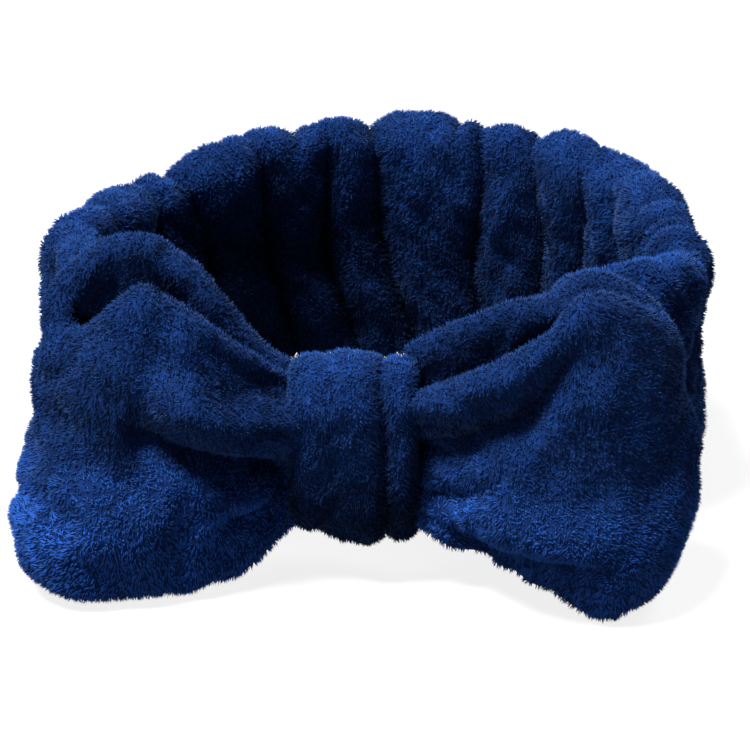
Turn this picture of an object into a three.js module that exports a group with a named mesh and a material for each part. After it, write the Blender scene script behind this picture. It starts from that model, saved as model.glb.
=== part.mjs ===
// Spa headband with a bow: an elasticated ring of plush sleeve, and a two-loop bow on its front.
// Millimetres, +Z up. The band stands on its lower rim and the bow faces -Y.
// The origin is the middle of the footprint, on the surface that the headband stands on.
import * as THREE from "three";
import { mergeVertices } from "three/addons/utils/BufferGeometryUtils.js";

// Ring: the middle line of the sleeve, two half ellipses that share the widest line.
const RING_HALF_WIDTH = 85;
const RING_BACK = 87;
const RING_FRONT = 48;
const BAND_HEIGHT = 78;
const SLEEVE_THICKNESS = 14;
const SLEEVE_CORNER = 4.5;
const PLUSH = 3; // one layer of fleece with its pile
const GAP = 0.35; // air between pieces that touch
const SEAM_DEPTH = 10; // the side seams lie this far in front of the widest line

// Knot: where the wrap draws the bow and the band together.
const KNOT_HALF_WIDTH = 16.5;
const WAIST_LOW = 18.4;
const WAIST_HIGH = 61.6;
const PINCHED_THICKNESS = 12;
const FLARE_START = KNOT_HALF_WIDTH + 4; // the band and the loops are drawn in as far as this
const FLARE_END = 50; // beyond this the band and the loops have their full height
const WRAP_THICKNESS = 5.5;
const WRAP_CORNER = 6;
const WAIST_THICKNESS = 15;
const WAIST_GROOVE = 2.6; // how far the gathering cord sinks into the waist

// Bow loops: a flat tube of plush, folded back on itself at the outer end.
const LOOP_HEIGHT = 92;
const LOOP_LAYER = 10;
const LOOP_ROOT_LAYER = 7;
const LOOP_SKIN = 2.4;
const LOOP_ROOT = KNOT_HALF_WIDTH + 2.1;
const LOOP_CORNER = 3.2;

// Inside the covers.
const ELASTIC_WIDTH = 25;
const ELASTIC_THICKNESS = 1.2;
const ELASTIC_LAP = 0.12; // radians that each end runs past the front
const ELASTIC_LAP_STEP = 0.9; // each end sits this far off the middle line
const WADDING_MARGIN = 2.6;
const THREAD_RADIUS = 0.45;
const THREAD_LIFT = 1.5; // from the floor of a cover to the middle of its long seam's thread
const CORD_RADIUS = 0.75;
const SMALLEST_CORNER = 0.4;

const PLUSH_CORNER_STEPS = 2; // straight stretches round each corner of a padded section
const FLAT_CORNER_STEPS = 1; // and of a thin strip
const THREAD_SIDES = 5;
const ZIGZAG_STEPS = 4; // straight stretches from one zigzag corner to the next
const { smoothstep, lerp } = THREE.MathUtils;
const X = new THREE.Vector3(1, 0, 0);
const Y = new THREE.Vector3(0, 1, 0);
const Z = new THREE.Vector3(0, 0, 1);

// Materials

function cloth(color, roughness) {
  return new THREE.MeshStandardMaterial({ color, roughness, metalness: 0 });
}
const navyPlush = () => cloth(0x1e3669, 0.95);
const shadedPlush = () => cloth(0x142650, 0.95);
const navyThread = () => cloth(0x0f1c3d, 0.7);
const whiteElastic = () => cloth(0xd9d9d4, 0.8);
const whiteWadding = () => cloth(0xe9e9e6, 1.0);

// Shapes

/** A rounded rectangle as [across, up] pairs, anticlockwise from its right side. */
function roundedOutline(half, low, high, radius, cornerSteps = PLUSH_CORNER_STEPS) {
  const corners = [
    [half - radius, high - radius],
    [radius - half, high - radius],
    [radius - half, low + radius],
    [half - radius, low + radius],
  ];
  return corners.flatMap(([across, up], quarter) =>
    Array.from({ length: cornerSteps + 1 }, (_, i) => {
      const angle = ((quarter + i / cornerSteps) * Math.PI) / 2;
      return [across + radius * Math.cos(angle), up + radius * Math.sin(angle)];
    }),
  );
}

/** The outline of a station, drawn in by an inset, as points in space. */
function sectionAt(station, inset = 0) {
  const { point, across, rise, half, low, high, radius, cornerSteps } = station;
  const corner = Math.max(radius - inset, SMALLEST_CORNER);
  const outline = roundedOutline(half - inset, low + inset, high - inset, corner, cornerSteps);
  return outline.map(([a, b]) => point.clone().addScaledVector(across, a).addScaledVector(rise, b));
}

/** Joins sections of equal length into one closed body, as a ring or with flat ends. */
function loft(sections, ring) {
  const count = sections[0].length;
  const faces = [];
  const strips = ring ? sections.length : sections.length - 1;
  for (let i = 0; i < strips; i++) {
    const here = i * count;
    const there = ((i + 1) % sections.length) * count;
    for (let j = 0; j < count; j++) {
      const next = (j + 1) % count;
      faces.push([here + j, there + j, there + next], [here + j, there + next, here + next]);
    }
  }
  if (!ring) {
    const last = (sections.length - 1) * count;
    for (let j = 1; j < count - 1; j++) {
      faces.push([0, j, j + 1], [last, last + j + 1, last + j]);
    }
  }
  return facingOut(sections.flat(), faces);
}

/** Turns every face over if the body's volume comes out negative. */
function facingOut(points, faces) {
  const normal = new THREE.Vector3();
  const volume = faces.reduce((sum, [a, b, c]) => {
    return sum + points[a].dot(normal.crossVectors(points[b], points[c]));
  }, 0);
  const turned = volume < 0 ? faces.map(([a, b, c]) => [a, c, b]) : faces;
  const geometry = new THREE.BufferGeometry().setFromPoints(points);
  geometry.setIndex(turned.flat());
  return geometry;
}

/** An open-ended hollow tube: out along the outer sections, back along the inner ones. */
function sheath(stations, wall) {
  const outer = stations.map((station) => sectionAt(station));
  const inner = stations.map((station) => sectionAt(station, wall)).reverse();
  return loft([...outer, ...inner], true);
}

function solid(stations) {
  return loft(stations.map((station) => sectionAt(station)), false);
}

/** A round thread carried along points, with flat ends. */
function thread(points, radius, stepsPerPoint = 1) {
  const curve = new THREE.CatmullRomCurve3(points);
  const disc = new THREE.Shape();
  for (let i = 0; i < THREAD_SIDES; i++) {
    const angle = (i / THREAD_SIDES) * 2 * Math.PI;
    const corner = [radius * Math.cos(angle), radius * Math.sin(angle)];
    if (i === 0) disc.moveTo(...corner);
    else disc.lineTo(...corner);
  }
  const geometry = new THREE.ExtrudeGeometry(disc, {
    steps: points.length * stepsPerPoint,
    extrudePath: curve,
    curveSegments: 1,
  });
  geometry.deleteAttribute("normal");
  geometry.deleteAttribute("uv");
  return mergeVertices(geometry, 1e-3);
}

const spread = (from, to, steps) =>
  Array.from({ length: steps + 1 }, (_, i) => lerp(from, to, i / steps));

// Band

/** The sleeve's middle line at a turn in radians from the back, positive towards +X. */
function ringStation(turn) {
  const depth = Math.cos(turn) > 0 ? RING_BACK : RING_FRONT;
  const point = new THREE.Vector3(RING_HALF_WIDTH * Math.sin(turn), depth * Math.cos(turn), 0);
  const heading = new THREE.Vector3(RING_HALF_WIDTH * Math.cos(turn), -depth * Math.sin(turn), 0);
  return { point, across: Z.clone().cross(heading).normalize(), rise: Z };
}

/** How far the band and the loops have opened out beside the knot: 0 under the wrap, 1 at full height. */
const openedOut = (x) => smoothstep(Math.abs(x), FLARE_START, FLARE_END);

function sleeveStation(turn) {
  const station = ringStation(turn);
  const open = station.point.y < 0 ? openedOut(station.point.x) : 1;
  return {
    ...station,
    half: lerp(PINCHED_THICKNESS, SLEEVE_THICKNESS, open) / 2,
    low: lerp(WAIST_LOW, 0, open),
    high: lerp(WAIST_HIGH, BAND_HEIGHT, open),
    radius: SLEEVE_CORNER,
  };
}

const seamTurn = Math.acos(-SEAM_DEPTH / RING_FRONT);
const seamGap = GAP / 2 / RING_FRONT;

function frontSleeve() {
  const turns = spread(seamTurn + seamGap, 2 * Math.PI - seamTurn - seamGap, 20);
  return sheath(turns.map(sleeveStation), PLUSH);
}

function backSleeve() {
  const turns = spread(-seamTurn + seamGap, seamTurn - seamGap, 32);
  return sheath(turns.map(sleeveStation), PLUSH);
}

/** One length of elastic round the ring, whose ends lap side by side behind the knot. */
function elastic() {
  const middle = (WAIST_LOW + WAIST_HIGH) / 2;
  const steps = 44;
  const stations = spread(-ELASTIC_LAP, 2 * Math.PI + ELASTIC_LAP, steps).map((turn, i) => {
    const station = ringStation(turn + Math.PI);
    station.point.addScaledVector(station.across, lerp(-ELASTIC_LAP_STEP, ELASTIC_LAP_STEP, i / steps));
    return {
      ...station,
      half: ELASTIC_THICKNESS / 2,
      low: middle - ELASTIC_WIDTH / 2,
      high: middle + ELASTIC_WIDTH / 2,
      radius: SMALLEST_CORNER,
      cornerSteps: FLAT_CORNER_STEPS,
    };
  });
  return solid(stations);
}

/** A zigzag of thread up the face of the lapped elastic. */
function elasticJoinStitch() {
  const offset = ELASTIC_LAP_STEP + ELASTIC_THICKNESS / 2 + GAP + THREAD_RADIUS / 2;
  const middle = (WAIST_LOW + WAIST_HIGH) / 2;
  const points = spread(-1, 1, 12).map((rise, i) => {
    const x = i % 2 ? 2 : -2;
    return new THREE.Vector3(x, -RING_FRONT + offset, middle + rise * (ELASTIC_WIDTH / 2 - 2));
  });
  return thread(points, THREAD_RADIUS / 2, ZIGZAG_STEPS);
}

/** Zigzag stitches inside the sleeve, round the end of its front length, beside a side seam. */
function sideSeamThread(side) {
  const station = sleeveStation(side * seamTurn);
  const forward = station.across.clone().cross(Z).multiplyScalar(side);
  const inset = PLUSH + GAP + THREAD_RADIUS;
  const route = inside(station, inset).slice(1);
  const points = route.map(([a, b], i) => {
    const reach = i % 2 ? 1 : 3;
    return station.point.clone().addScaledVector(station.across, a).addScaledVector(Z, b)
      .addScaledVector(forward, reach);
  });
  return thread(points, THREAD_RADIUS);
}

/** Evenly spaced [across, up] pairs round a station's outline, drawn in by an inset. */
function inside({ half, low, high }, inset) {
  const [width, height] = [half - inset, (high - low) / 2 - inset];
  const middle = (low + high) / 2;
  const perSide = 11;
  const up = spread(-1, 1, perSide).map((share) => share * (height - 1));
  return [
    ...up.map((rise) => [width, middle + rise]),
    [0, middle + height],
    ...up.reverse().map((rise) => [-width, middle + rise]),
  ];
}

/** The thread of the long seam, lying in the bottom of the sleeve. */
function sleeveSeamThread(from, to, steps) {
  const points = spread(from, to, steps).map((turn, i) => {
    const station = sleeveStation(turn);
    const height = station.low + PLUSH + THREAD_LIFT;
    const sway = i % 2 ? 0.5 : -0.5;
    return station.point.clone().addScaledVector(station.across, sway).addScaledVector(Z, height);
  });
  return thread(points, THREAD_RADIUS);
}

// Bow

const sleeveFront = -RING_FRONT - PINCHED_THICKNESS / 2;
const curveUnderWrap = RING_FRONT - RING_FRONT * Math.sqrt(1 - (KNOT_HALF_WIDTH / RING_HALF_WIDTH) ** 2);
const sleeveInside = -RING_FRONT + PINCHED_THICKNESS / 2 + curveUnderWrap;
const waistMiddle = sleeveFront - GAP - WAIST_THICKNESS / 2;
const waistFront = waistMiddle - WAIST_THICKNESS / 2;

/** The drawn-in middle of the bow, with a groove where the gathering cord lies. */
function bowWaist() {
  const stations = spread(-1, 1, 12).map((share) => {
    const groove = WAIST_GROOVE * (1 - smoothstep(Math.abs(share), 0.25, 0.6));
    return {
      point: new THREE.Vector3(share * (KNOT_HALF_WIDTH - GAP), waistMiddle, 0),
      across: Y,
      rise: Z,
      half: WAIST_THICKNESS / 2 - groove,
      low: WAIST_LOW + groove,
      high: WAIST_HIGH - groove,
      radius: 4,
    };
  });
  return solid(stations);
}

/** Three turns of cord in the groove of the waist. */
function gatherCord() {
  const turns = 3;
  const inset = WAIST_GROOVE - GAP - CORD_RADIUS;
  const round = roundedOutline(WAIST_THICKNESS / 2 - inset, WAIST_LOW + inset, WAIST_HIGH - inset, 4.6);
  const total = turns * round.length;
  const points = Array.from({ length: total }, (_, i) => {
    const [a, b] = round[i % round.length];
    const x = (i / (total - 1) - 0.5) * turns * 1.7;
    return new THREE.Vector3(x, waistMiddle + a, b);
  });
  return thread(points, CORD_RADIUS, 2);
}

/** The strip that wraps the waist and the band together, closed in a ring about the X axis. */
function knotWrap() {
  const reach = GAP + WRAP_THICKNESS / 2;
  const front = waistFront - reach;
  const back = sleeveInside + reach;
  const middle = (front + back) / 2;
  const route = roundedOutline((back - front) / 2, WAIST_LOW - reach, WAIST_HIGH + reach, WRAP_CORNER);
  const perCorner = PLUSH_CORNER_STEPS + 1;
  const sections = route.map(([a, b], i) => {
    const [quarter, step] = [Math.floor(i / perCorner), i % perCorner];
    const angle = ((quarter + step / PLUSH_CORNER_STEPS) * Math.PI) / 2;
    return sectionAt({
      point: new THREE.Vector3(0, middle + a, b),
      across: Y.clone().multiplyScalar(Math.cos(angle)).addScaledVector(Z, Math.sin(angle)),
      rise: X,
      half: WRAP_THICKNESS / 2,
      low: -KNOT_HALF_WIDTH,
      high: KNOT_HALF_WIDTH,
      radius: 2.2,
    });
  });
  return loft(sections, true);
}

/** Hand stitches that close the wrap on the inner side of the band. */
function knotClosingStitch() {
  const y = sleeveInside + GAP + WRAP_THICKNESS + GAP + THREAD_RADIUS;
  const points = spread(WAIST_LOW + 5, WAIST_HIGH - 5, 16).map((z, i) => {
    return new THREE.Vector3(i % 2 ? 1.8 : -1.8, y, z);
  });
  return thread(points, THREAD_RADIUS, ZIGZAG_STEPS);
}

/** The middle line of a loop in plan, from the knot out along the front and home along the back. */
function loopCurve(side) {
  const front = waistFront + LOOP_ROOT_LAYER / 2 + GAP;
  const back = sleeveFront - GAP - LOOP_ROOT_LAYER / 2;
  const plan = [
    [LOOP_ROOT, front], [30, -73], [44, -79], [60, -82], [74, -79.5], [82.5, -72],
    [84.5, -64], [80, -56], [69, -51.5], [56, -52], [42, -55.6], [30, -58], [LOOP_ROOT, back],
  ];
  return new THREE.CatmullRomCurve3(plan.map(([x, y]) => new THREE.Vector3(side * x, y, 0)));
}

function loopStations(side, from, to, steps) {
  const curve = loopCurve(side);
  return spread(from, to, steps).map((share) => {
    const point = curve.getPointAt(share);
    const across = curve.getTangentAt(share).cross(Z).multiplyScalar(side).normalize();
    const open = openedOut(point.x);
    return {
      point,
      across,
      rise: Z,
      half: lerp(LOOP_ROOT_LAYER, LOOP_LAYER, open) / 2,
      low: lerp(WAIST_LOW, 0, open),
      high: lerp(WAIST_HIGH, LOOP_HEIGHT, open),
      radius: LOOP_CORNER,
    };
  });
}

const loopCover = (side) => sheath(loopStations(side, 0, 1, 28), LOOP_SKIN);

/** A sheet of wadding inside the cover, which stops short of the tight root. */
function loopWadding(side) {
  const stations = loopStations(side, 0.16, 0.84, 20);
  return solid(stations.map((station) => ({
    ...station,
    half: station.half - LOOP_SKIN - GAP,
    low: station.low + LOOP_SKIN + WADDING_MARGIN,
    high: station.high - LOOP_SKIN - WADDING_MARGIN,
    radius: 0.9,
    cornerSteps: FLAT_CORNER_STEPS,
  })));
}

function loopSeamThread(side) {
  const points = loopStations(side, 0.14, 0.86, 22).map((station, i) => {
    const height = station.low + LOOP_SKIN + THREAD_LIFT;
    const sway = i % 2 ? 0.4 : -0.4;
    return station.point.clone().addScaledVector(station.across, sway).addScaledVector(Z, height);
  });
  return thread(points, THREAD_RADIUS);
}

// Assembly

function piece(name, geometry, material) {
  const mesh = new THREE.Mesh(geometry, material);
  mesh.name = name;
  return mesh;
}

const headband = new THREE.Group();
const seamInset = 0.08; // radians that a long seam's thread stops short of the side seams
headband.add(
  piece("front_sleeve", frontSleeve(), navyPlush()),
  piece("front_sleeve_seam_thread",
    sleeveSeamThread(seamTurn + seamInset, 2 * Math.PI - seamTurn - seamInset, 24), navyThread()),
  piece("back_sleeve", backSleeve(), navyPlush()),
  piece("back_sleeve_seam_thread",
    sleeveSeamThread(-seamTurn + seamInset, seamTurn - seamInset, 40), navyThread()),
  piece("elastic", elastic(), whiteElastic()),
  piece("elastic_join_stitch", elasticJoinStitch(), navyThread()),
  piece("bow_waist", bowWaist(), shadedPlush()),
  piece("gather_cord", gatherCord(), navyThread()),
  piece("knot_wrap", knotWrap(), navyPlush()),
  piece("knot_closing_stitch", knotClosingStitch(), navyThread()),
);
for (const [sideName, side] of [["left", -1], ["right", 1]]) {
  headband.add(
    piece(`${sideName}_side_seam_thread`, sideSeamThread(side), navyThread()),
    piece(`${sideName}_loop_cover`, loopCover(side), navyPlush()),
    piece(`${sideName}_loop_wadding`, loopWadding(side), whiteWadding()),
    piece(`${sideName}_loop_seam_thread`, loopSeamThread(side), navyThread()),
  );
}

const box = new THREE.Box3().setFromObject(headband);
headband.position.y = -(box.min.y + box.max.y) / 2;

export default headband;
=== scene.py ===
# %% [markdown]
# # A spa headband with a big bow
# The real thing is one gathered tube of coral fleece with elastic inside, and a bow of two loops.
# A wrap of the same fleece pinches the bow's middle and the band together at the front.
# Each piece below is a surface worked out with numpy, in millimetres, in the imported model's frame.
# The fleece's pile is made of real tufts, because on plush the outline and the shading come from it.

# %% Load the frame
import math

import bpy
import numpy as np
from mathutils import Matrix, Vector


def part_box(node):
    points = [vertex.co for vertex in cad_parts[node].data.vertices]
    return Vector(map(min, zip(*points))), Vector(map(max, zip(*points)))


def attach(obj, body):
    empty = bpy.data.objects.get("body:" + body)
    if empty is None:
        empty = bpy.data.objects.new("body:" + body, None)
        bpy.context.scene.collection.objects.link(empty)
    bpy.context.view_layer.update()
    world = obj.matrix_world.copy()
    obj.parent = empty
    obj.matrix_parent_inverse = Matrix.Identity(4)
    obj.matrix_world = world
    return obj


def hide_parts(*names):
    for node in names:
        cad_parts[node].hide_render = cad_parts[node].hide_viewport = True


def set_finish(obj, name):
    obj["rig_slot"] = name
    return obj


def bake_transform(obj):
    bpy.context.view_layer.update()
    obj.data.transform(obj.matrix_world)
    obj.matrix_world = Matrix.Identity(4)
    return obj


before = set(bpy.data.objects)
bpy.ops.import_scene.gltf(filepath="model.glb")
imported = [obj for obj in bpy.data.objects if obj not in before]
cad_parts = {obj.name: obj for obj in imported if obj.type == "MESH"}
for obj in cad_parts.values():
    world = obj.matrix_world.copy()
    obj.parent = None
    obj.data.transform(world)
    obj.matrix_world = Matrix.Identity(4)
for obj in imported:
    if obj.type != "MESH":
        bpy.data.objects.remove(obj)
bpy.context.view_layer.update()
MM = 0.001

# %% [markdown]
# ## Camera
# The camera stands a little to the right of the bow and looks down at it from about a metre away.
# A long lens keeps the ring's back nearly as wide as its front. The aim point is near the middle
# of the ring, a third of the way up, so the bow fills the lower half of the view.

# %% Camera
CAMERA_AZIMUTH = math.radians(5)
CAMERA_ELEVATION = math.radians(23)
CAMERA_DISTANCE = 1.1
CAMERA_AIM = Vector((0.0, -0.0085, 0.033))


def from_angles(azimuth, elevation):
    """The direction that has an azimuth, from -Y towards +X, and an elevation, both in radians."""
    level = math.cos(elevation)
    return Vector((math.sin(azimuth) * level, -math.cos(azimuth) * level, math.sin(elevation)))


def aim(thing, position, at):
    """Puts a camera or light at a position and turns its -Z axis towards a point."""
    thing.location = position
    thing.rotation_euler = (at - position).to_track_quat("-Z", "Y").to_euler()


camera = bpy.data.objects.new("camera", bpy.data.cameras.new("camera"))
camera.data.sensor_width = 36
camera.data.lens = 190
camera.data.clip_end = 20
bpy.context.scene.collection.objects.link(camera)
bpy.context.scene.camera = camera
to_camera = from_angles(CAMERA_AZIMUTH, CAMERA_ELEVATION)
aim(camera, CAMERA_AIM + to_camera * CAMERA_DISTANCE, CAMERA_AIM)
print("camera at", [round(value, 3) for value in camera.location])

# %% [markdown]
# ## Small helpers
# Shapes are arrays of points. Three helpers do most of the work: a smooth step, a smooth noise
# made of crossing waves, and a rounded valley whose bottom is sharp and whose shoulders are round,
# because that is the shape of a crease between two puffs of thick cloth.


# %% Number helpers
def smoothstep(value, low, high):
    """0 below low, 1 above high, and an S curve between them."""
    share = np.clip((value - low) / (high - low), 0, 1)
    return share * share * (3 - 2 * share)


def blend_between(start, end, share):
    """Start where the share is 0, end where it is 1, in a straight line between."""
    return start + (end - start) * share


def drift(points, wavelength, seed):
    """Smooth noise of about -1 to 1: seven sine waves that cross in random directions, added up."""
    rng = np.random.default_rng(seed)
    directions = rng.normal(size=(7, points.shape[-1]))
    directions /= np.linalg.norm(directions, axis=1, keepdims=True)
    stretch = rng.uniform(0.7, 1.4, 7)
    phases = rng.uniform(0, 2 * np.pi, 7)
    angle = points @ (directions * stretch[:, None]).T * (2 * np.pi / wavelength) + phases
    return np.sin(angle).sum(-1) / 3.2


def valley(distance, width):
    """1 on a crease's line and 0 from a width away: one minus a quarter circle, so its sides are puffs."""
    share = 1 - np.clip(np.abs(distance) / width, 0, 1)
    return 1 - np.sqrt(1 - share * share)


def unit(vectors):
    """The same directions with length one."""
    return vectors / np.maximum(np.linalg.norm(vectors, axis=-1, keepdims=True), 1e-9)


print("valley at 0, half and full width:", valley(np.array([0, 0.5, 1.0]), 1.0).round(2))

# %% [markdown]
# ## Turning arrays into meshes
# Every cover, strip and thread here is a tube: sections of equal count along a path. Its ends are
# closed by joining the two sides of the section across, so that each mesh is one closed skin.


# %% Mesh helpers
def new_piece(name, points, faces, material, slot):
    """A mesh object from points in mm and a list of face arrays, each (count, corners)."""
    mesh = bpy.data.meshes.new(name)
    mesh.vertices.add(len(points))
    mesh.vertices.foreach_set("co", (points * MM).astype(np.float32).ravel())
    corners = np.concatenate([part.ravel() for part in faces]).astype(np.int32)
    sizes = np.concatenate([np.full(len(part), part.shape[1]) for part in faces])
    starts = np.concatenate([[0], np.cumsum(sizes)[:-1]]).astype(np.int32)
    mesh.loops.add(len(corners))
    mesh.loops.foreach_set("vertex_index", corners)
    mesh.polygons.add(len(sizes))
    mesh.polygons.foreach_set("loop_start", starts)
    mesh.polygons.foreach_set("use_smooth", np.ones(len(sizes), bool))
    mesh.update(calc_edges=True)
    mesh.materials.append(material)
    piece = bpy.data.objects.new(name, mesh)
    bpy.context.scene.collection.objects.link(piece)
    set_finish(piece, slot)
    return piece


def tube_faces(sections, around, ring=False):
    """Quads between neighbouring sections, and at open ends triangles across the section.

    Point j faces point around/2 - j across the section's thickness, so those two are joined.
    """
    i = np.arange(sections if ring else sections - 1)[:, None]
    j = np.arange(around)[None, :]
    here = i * around
    there = ((i + 1) % sections) * around
    following = (j + 1) % around
    quads = np.stack([here + j, there + j, there + following, here + following], -1).reshape(-1, 4)
    if ring:
        return [quads]
    near = np.arange(-around // 4, around // 4)
    far = around // 2 - near
    first = np.stack([near, near + 1, far], -1)
    second = np.stack([near + 1, far - 1, far], -1)
    lid = np.concatenate([first, second]) % around
    lid = lid[(lid[:, 0] != lid[:, 1]) & (lid[:, 1] != lid[:, 2]) & (lid[:, 0] != lid[:, 2])]
    return [quads, lid, (lid + (sections - 1) * around)[:, ::-1]]


def volume_of(points, faces):
    """Six times the volume inside, from each face's corners: negative when the faces point inwards."""
    triangles = [part[:, [0, 1, 2]] for part in faces]
    triangles += [part[:, [0, 2, 3]] for part in faces if part.shape[1] == 4]
    a, b, c = (points[np.concatenate(triangles)[:, corner]] for corner in range(3))
    return float(np.einsum("ij,ij->i", a, np.cross(b, c)).sum())


def keep_value(piece, name, values):
    """Keeps one number per point on the piece's mesh, for its material to read."""
    attribute = piece.data.attributes.new(name, "FLOAT", "POINT")
    attribute.data.foreach_set("value", values.astype(np.float32).ravel())


def tube(name, sections, material, slot, ring=False, fold=None):
    """A closed tube from an array of sections (count, around, 3), its faces outwards.

    Fold says for each point how much painted shade it gets, from 0 to 1: mostly how deep in a crease it lies.
    """
    points = sections.reshape(-1, 3)
    faces = tube_faces(*sections.shape[:2], ring)
    if volume_of(points, faces) < 0:
        faces = [part[:, ::-1] for part in faces]
    piece = new_piece(name, points, faces, material, slot)
    if fold is not None:
        keep_value(piece, "fold", np.clip(fold, 0, 1))
    return piece


def flat_section(around, side_share):
    """Round a flat section with round edges: how far up the flat side, -1 to 1, and the edge's angle.

    It starts halfway up the outer side and goes up, over the top, down the inner side and back.
    """
    share = np.arange(around) / around
    stops = np.cumsum([0, side_share / 2, 0.5 - side_share, side_share, 0.5 - side_share, side_share / 2])
    lift = np.interp(share, stops, [0, 1, 1, -1, -1, 0])
    angle = np.interp(share, stops, [0, 0, np.pi, np.pi, 2 * np.pi, 2 * np.pi])
    return share, lift, angle


def thread(name, points, radius, material, slot, sides=8):
    """A round thread along points in mm: a circle in the plane square to the path at each point."""
    heading = unit(np.gradient(points, axis=0))
    side = unit(np.cross(heading, np.array([0.13, 0.21, 0.97])))
    up = np.cross(heading, side)
    angle = np.arange(sides) / sides * 2 * np.pi
    circle = np.cos(angle)[None, :, None] * side[:, None] + np.sin(angle)[None, :, None] * up[:, None]
    return tube(name, points[:, None] + radius * circle, material, slot)


def through(stops, count):
    """A smooth curve through the stops (Catmull-Rom), cut into equal lengths."""
    padded = np.concatenate([2 * stops[:1] - stops[1:2], stops, 2 * stops[-1:] - stops[-2:-1]])
    place = np.linspace(0, len(stops) - 1 - 1e-9, 40 * len(stops))
    index = place.astype(int)
    t = (place - index)[:, None]
    a, b, c, d = (padded[index + offset] for offset in range(4))
    square, cube = 2 * a - 5 * b + 4 * c - d, 3 * b - a - 3 * c + d
    curve = 0.5 * (2 * b + (c - a) * t + square * t**2 + cube * t**3)
    length = np.concatenate([[0], np.cumsum(np.linalg.norm(np.diff(curve, axis=0), axis=1))])
    even = np.linspace(0, length[-1], count)
    return np.stack([np.interp(even, length, curve[:, axis]) for axis in range(stops.shape[1])], -1)


print("a tube of 3 sections of 8 points has", sum(len(part) for part in tube_faces(3, 8)), "faces")

# %% [markdown]
# ## Plush colour
# Coral fleece is dyed through, but it never looks one colour: the tips catch light, the roots lie
# in their own shade, and the pile lies in patches that answer the light differently. One node group
# mixes a root colour into a tip colour along each tuft, and varies the result tuft by tuft and patch
# by patch. The cover under the pile uses the same group, so that the two never drift apart.


# %% Node helpers
def add(nodes, kind, **values):
    """A new node with its plain values set."""
    node = nodes.new(kind)
    for key, value in values.items():
        setattr(node, key, value)
    return node


def math_node(tree, operation, first, second):
    """A math node of two inputs, each a socket or a number, and its output socket."""
    node = add(tree.nodes, "ShaderNodeMath", operation=operation)
    for socket, value in zip(node.inputs, (first, second)):
        if isinstance(value, (int, float)):
            socket.default_value = value
        else:
            tree.links.new(value, socket)
    return node.outputs[0]


def noise_node(tree, vector, scale, detail=2.0):
    """A noise texture's 0 to 1 output on a coordinate."""
    node = add(tree.nodes, "ShaderNodeTexNoise")
    node.inputs["Scale"].default_value = scale
    node.inputs["Detail"].default_value = detail
    tree.links.new(vector, node.inputs["Vector"])
    return node.outputs["Fac"]


def build_plush_colour():
    """The group: colour = mix(root, tip, along) x (tuft shade) x (patch noise) x (1 - most of the fold).

    Pile that is shut in a crease lies in its neighbours' shade, so it is darkened where the cloth folds.
    """
    group = bpy.data.node_groups.new("plush_colour", "ShaderNodeTree")
    kinds = {"Root": "Color", "Tip": "Color", "Along": "Float", "Shade": "Float", "Fold": "Float"}
    for name, kind in {**kinds, "Position": "Vector"}.items():
        group.interface.new_socket(name=name, in_out="INPUT", socket_type=f"NodeSocket{kind}")
    group.interface.new_socket(name="Color", in_out="OUTPUT", socket_type="NodeSocketColor")
    inside = add(group.nodes, "NodeGroupInput")
    outside = add(group.nodes, "NodeGroupOutput")
    mix = add(group.nodes, "ShaderNodeMix", data_type="RGBA")
    group.links.new(inside.outputs["Along"], mix.inputs["Factor"])
    group.links.new(inside.outputs["Root"], mix.inputs["A"])
    group.links.new(inside.outputs["Tip"], mix.inputs["B"])
    patches = math_node(group, "MULTIPLY_ADD", noise_node(group, inside.outputs["Position"], 85.0), 0.9)
    patches.node.inputs[2].default_value = 0.55
    tufts = math_node(group, "MULTIPLY_ADD", inside.outputs["Shade"], 0.8)
    tufts.node.inputs[2].default_value = 0.6
    open_cloth = math_node(group, "MULTIPLY_ADD", inside.outputs["Fold"], -0.86)
    open_cloth.node.inputs[2].default_value = 1.0
    amount = math_node(group, "MULTIPLY", math_node(group, "MULTIPLY", patches, tufts), open_cloth)
    scale = add(group.nodes, "ShaderNodeVectorMath", operation="SCALE")
    group.links.new(mix.outputs["Result"], scale.inputs[0])
    group.links.new(amount, scale.inputs["Scale"])
    group.links.new(scale.outputs[0], outside.inputs["Color"])
    return group


plush_colour = build_plush_colour()
print("plush_colour has", len(plush_colour.nodes), "nodes")

# %% [markdown]
# ## Materials
# Four finishes are needed. The tufts and the covers under them are the same plush: matt, with a faint
# bluish sheen where the pile is seen edge on. The elastic, the wadding and the threads are plain
# two-tone patterns with a small bump, because they are hardly seen.

# %% Materials
NAVY_ROOT = (0.0008, 0.0045, 0.028, 1)
NAVY_TIP = (0.0125, 0.0640, 0.285, 1)
NAVY_SHEEN = (0.26, 0.46, 1.0, 1)


def new_material(name, roughness):
    """A material with its Principled shader, its tree, and its Object coordinates."""
    material = bpy.data.materials.new(name)
    material.use_nodes = True
    shader = material.node_tree.nodes["Principled BSDF"]
    shader.inputs["Roughness"].default_value = roughness
    shader.inputs["Specular IOR Level"].default_value = 0.1
    position = add(material.node_tree.nodes, "ShaderNodeTexCoord").outputs["Object"]
    return material, material.node_tree, shader, position


def read(name):
    """A maker of an Attribute node that reads a value kept on the mesh."""
    return lambda tree, position: add(tree.nodes, "ShaderNodeAttribute", attribute_name=name).outputs["Fac"]


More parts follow.
